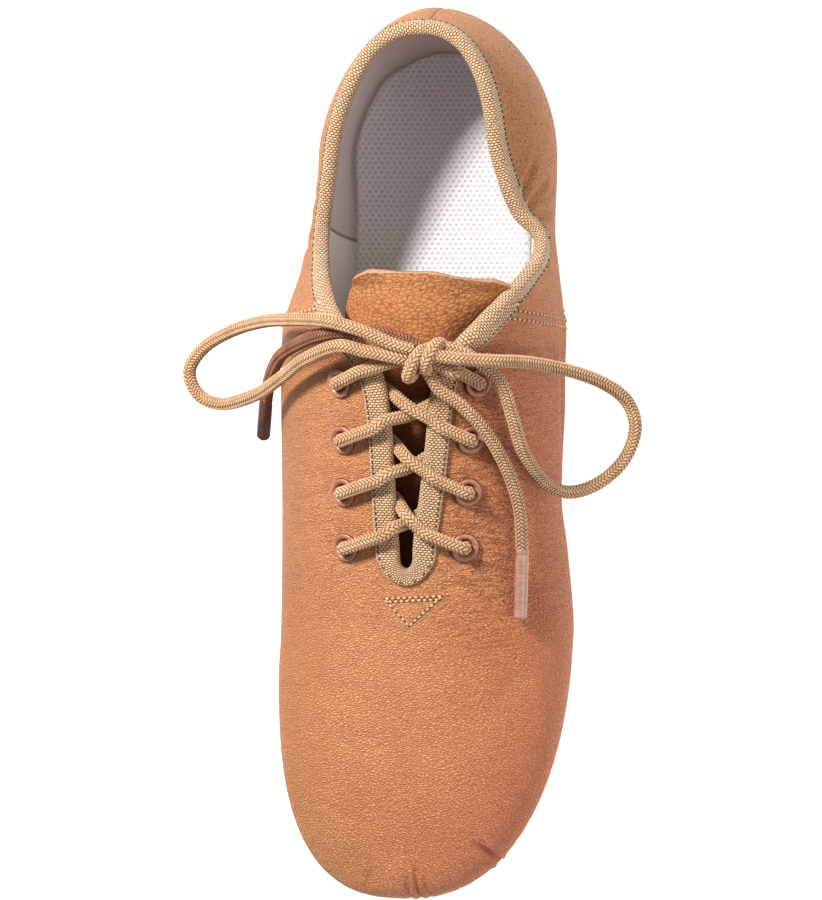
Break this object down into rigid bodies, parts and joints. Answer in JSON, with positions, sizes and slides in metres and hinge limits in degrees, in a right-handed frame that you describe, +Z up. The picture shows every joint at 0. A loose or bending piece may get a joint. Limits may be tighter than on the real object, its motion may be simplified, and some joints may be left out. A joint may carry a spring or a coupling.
{
  "type": "dance shoe",
  "caption": "Soft leather lace-up dance shoe with a split sole: hollow upper, bound collar, tongue, rubber forefoot patch, low heel and tied bow.",
  "frame": {"origin": "on the floor, under the middle of the shoe's length and width", "axes": "+Y from toe to heel, +X to the outer (lateral) side of the foot, +Z up"},
  "size_m": [0.1286, 0.25, 0.085],
  "materials": {
    "upper_leather": "soft caramel leather with a fine pebbled grain, satin",
    "woven_tape": "beige woven tape, matt",
    "tongue_leather": "smooth tan leather",
    "sock_fabric": "white dimpled sock, matt",
    "sole_rubber": "tan rubber with a fine tread",
    "heel_foam": "red-brown moulded foam with a fine tread",
    "eyelet_metal": "copper-tan painted, satin",
    "braided_lace": "straw-coloured round braid, matt",
    "aglet_plastic": "clear pinkish film"
  },
  "bodies": {
    "root": {"upper": "upper_leather", "binding": "woven_tape", "tongue": "tongue_leather", "insole": "sock_fabric", "forefoot_sole": "sole_rubber", "heel": "heel_foam", "eyelet_medial_1": "eyelet_metal", "eyelet_medial_2": "eyelet_metal", "eyelet_medial_3": "eyelet_metal", "eyelet_medial_4": "eyelet_metal", "eyelet_lateral_1": "eyelet_metal", "eyelet_lateral_2": "eyelet_metal", "eyelet_lateral_3": "eyelet_metal", "eyelet_lateral_4": "eyelet_metal", "lace_cross_1": "braided_lace", "lace_cross_2": "braided_lace", "lace_cross_3": "braided_lace", "lace_cross_4": "braided_lace", "lace_knot": "braided_lace", "lace_loop_medial": "braided_lace", "lace_loop_lateral": "braided_lace", "lace_end_medial": "braided_lace", "lace_end_lateral": "braided_lace", "aglet_medial": "aglet_plastic", "aglet_lateral": "aglet_plastic"}
  },
  "joints": []
}
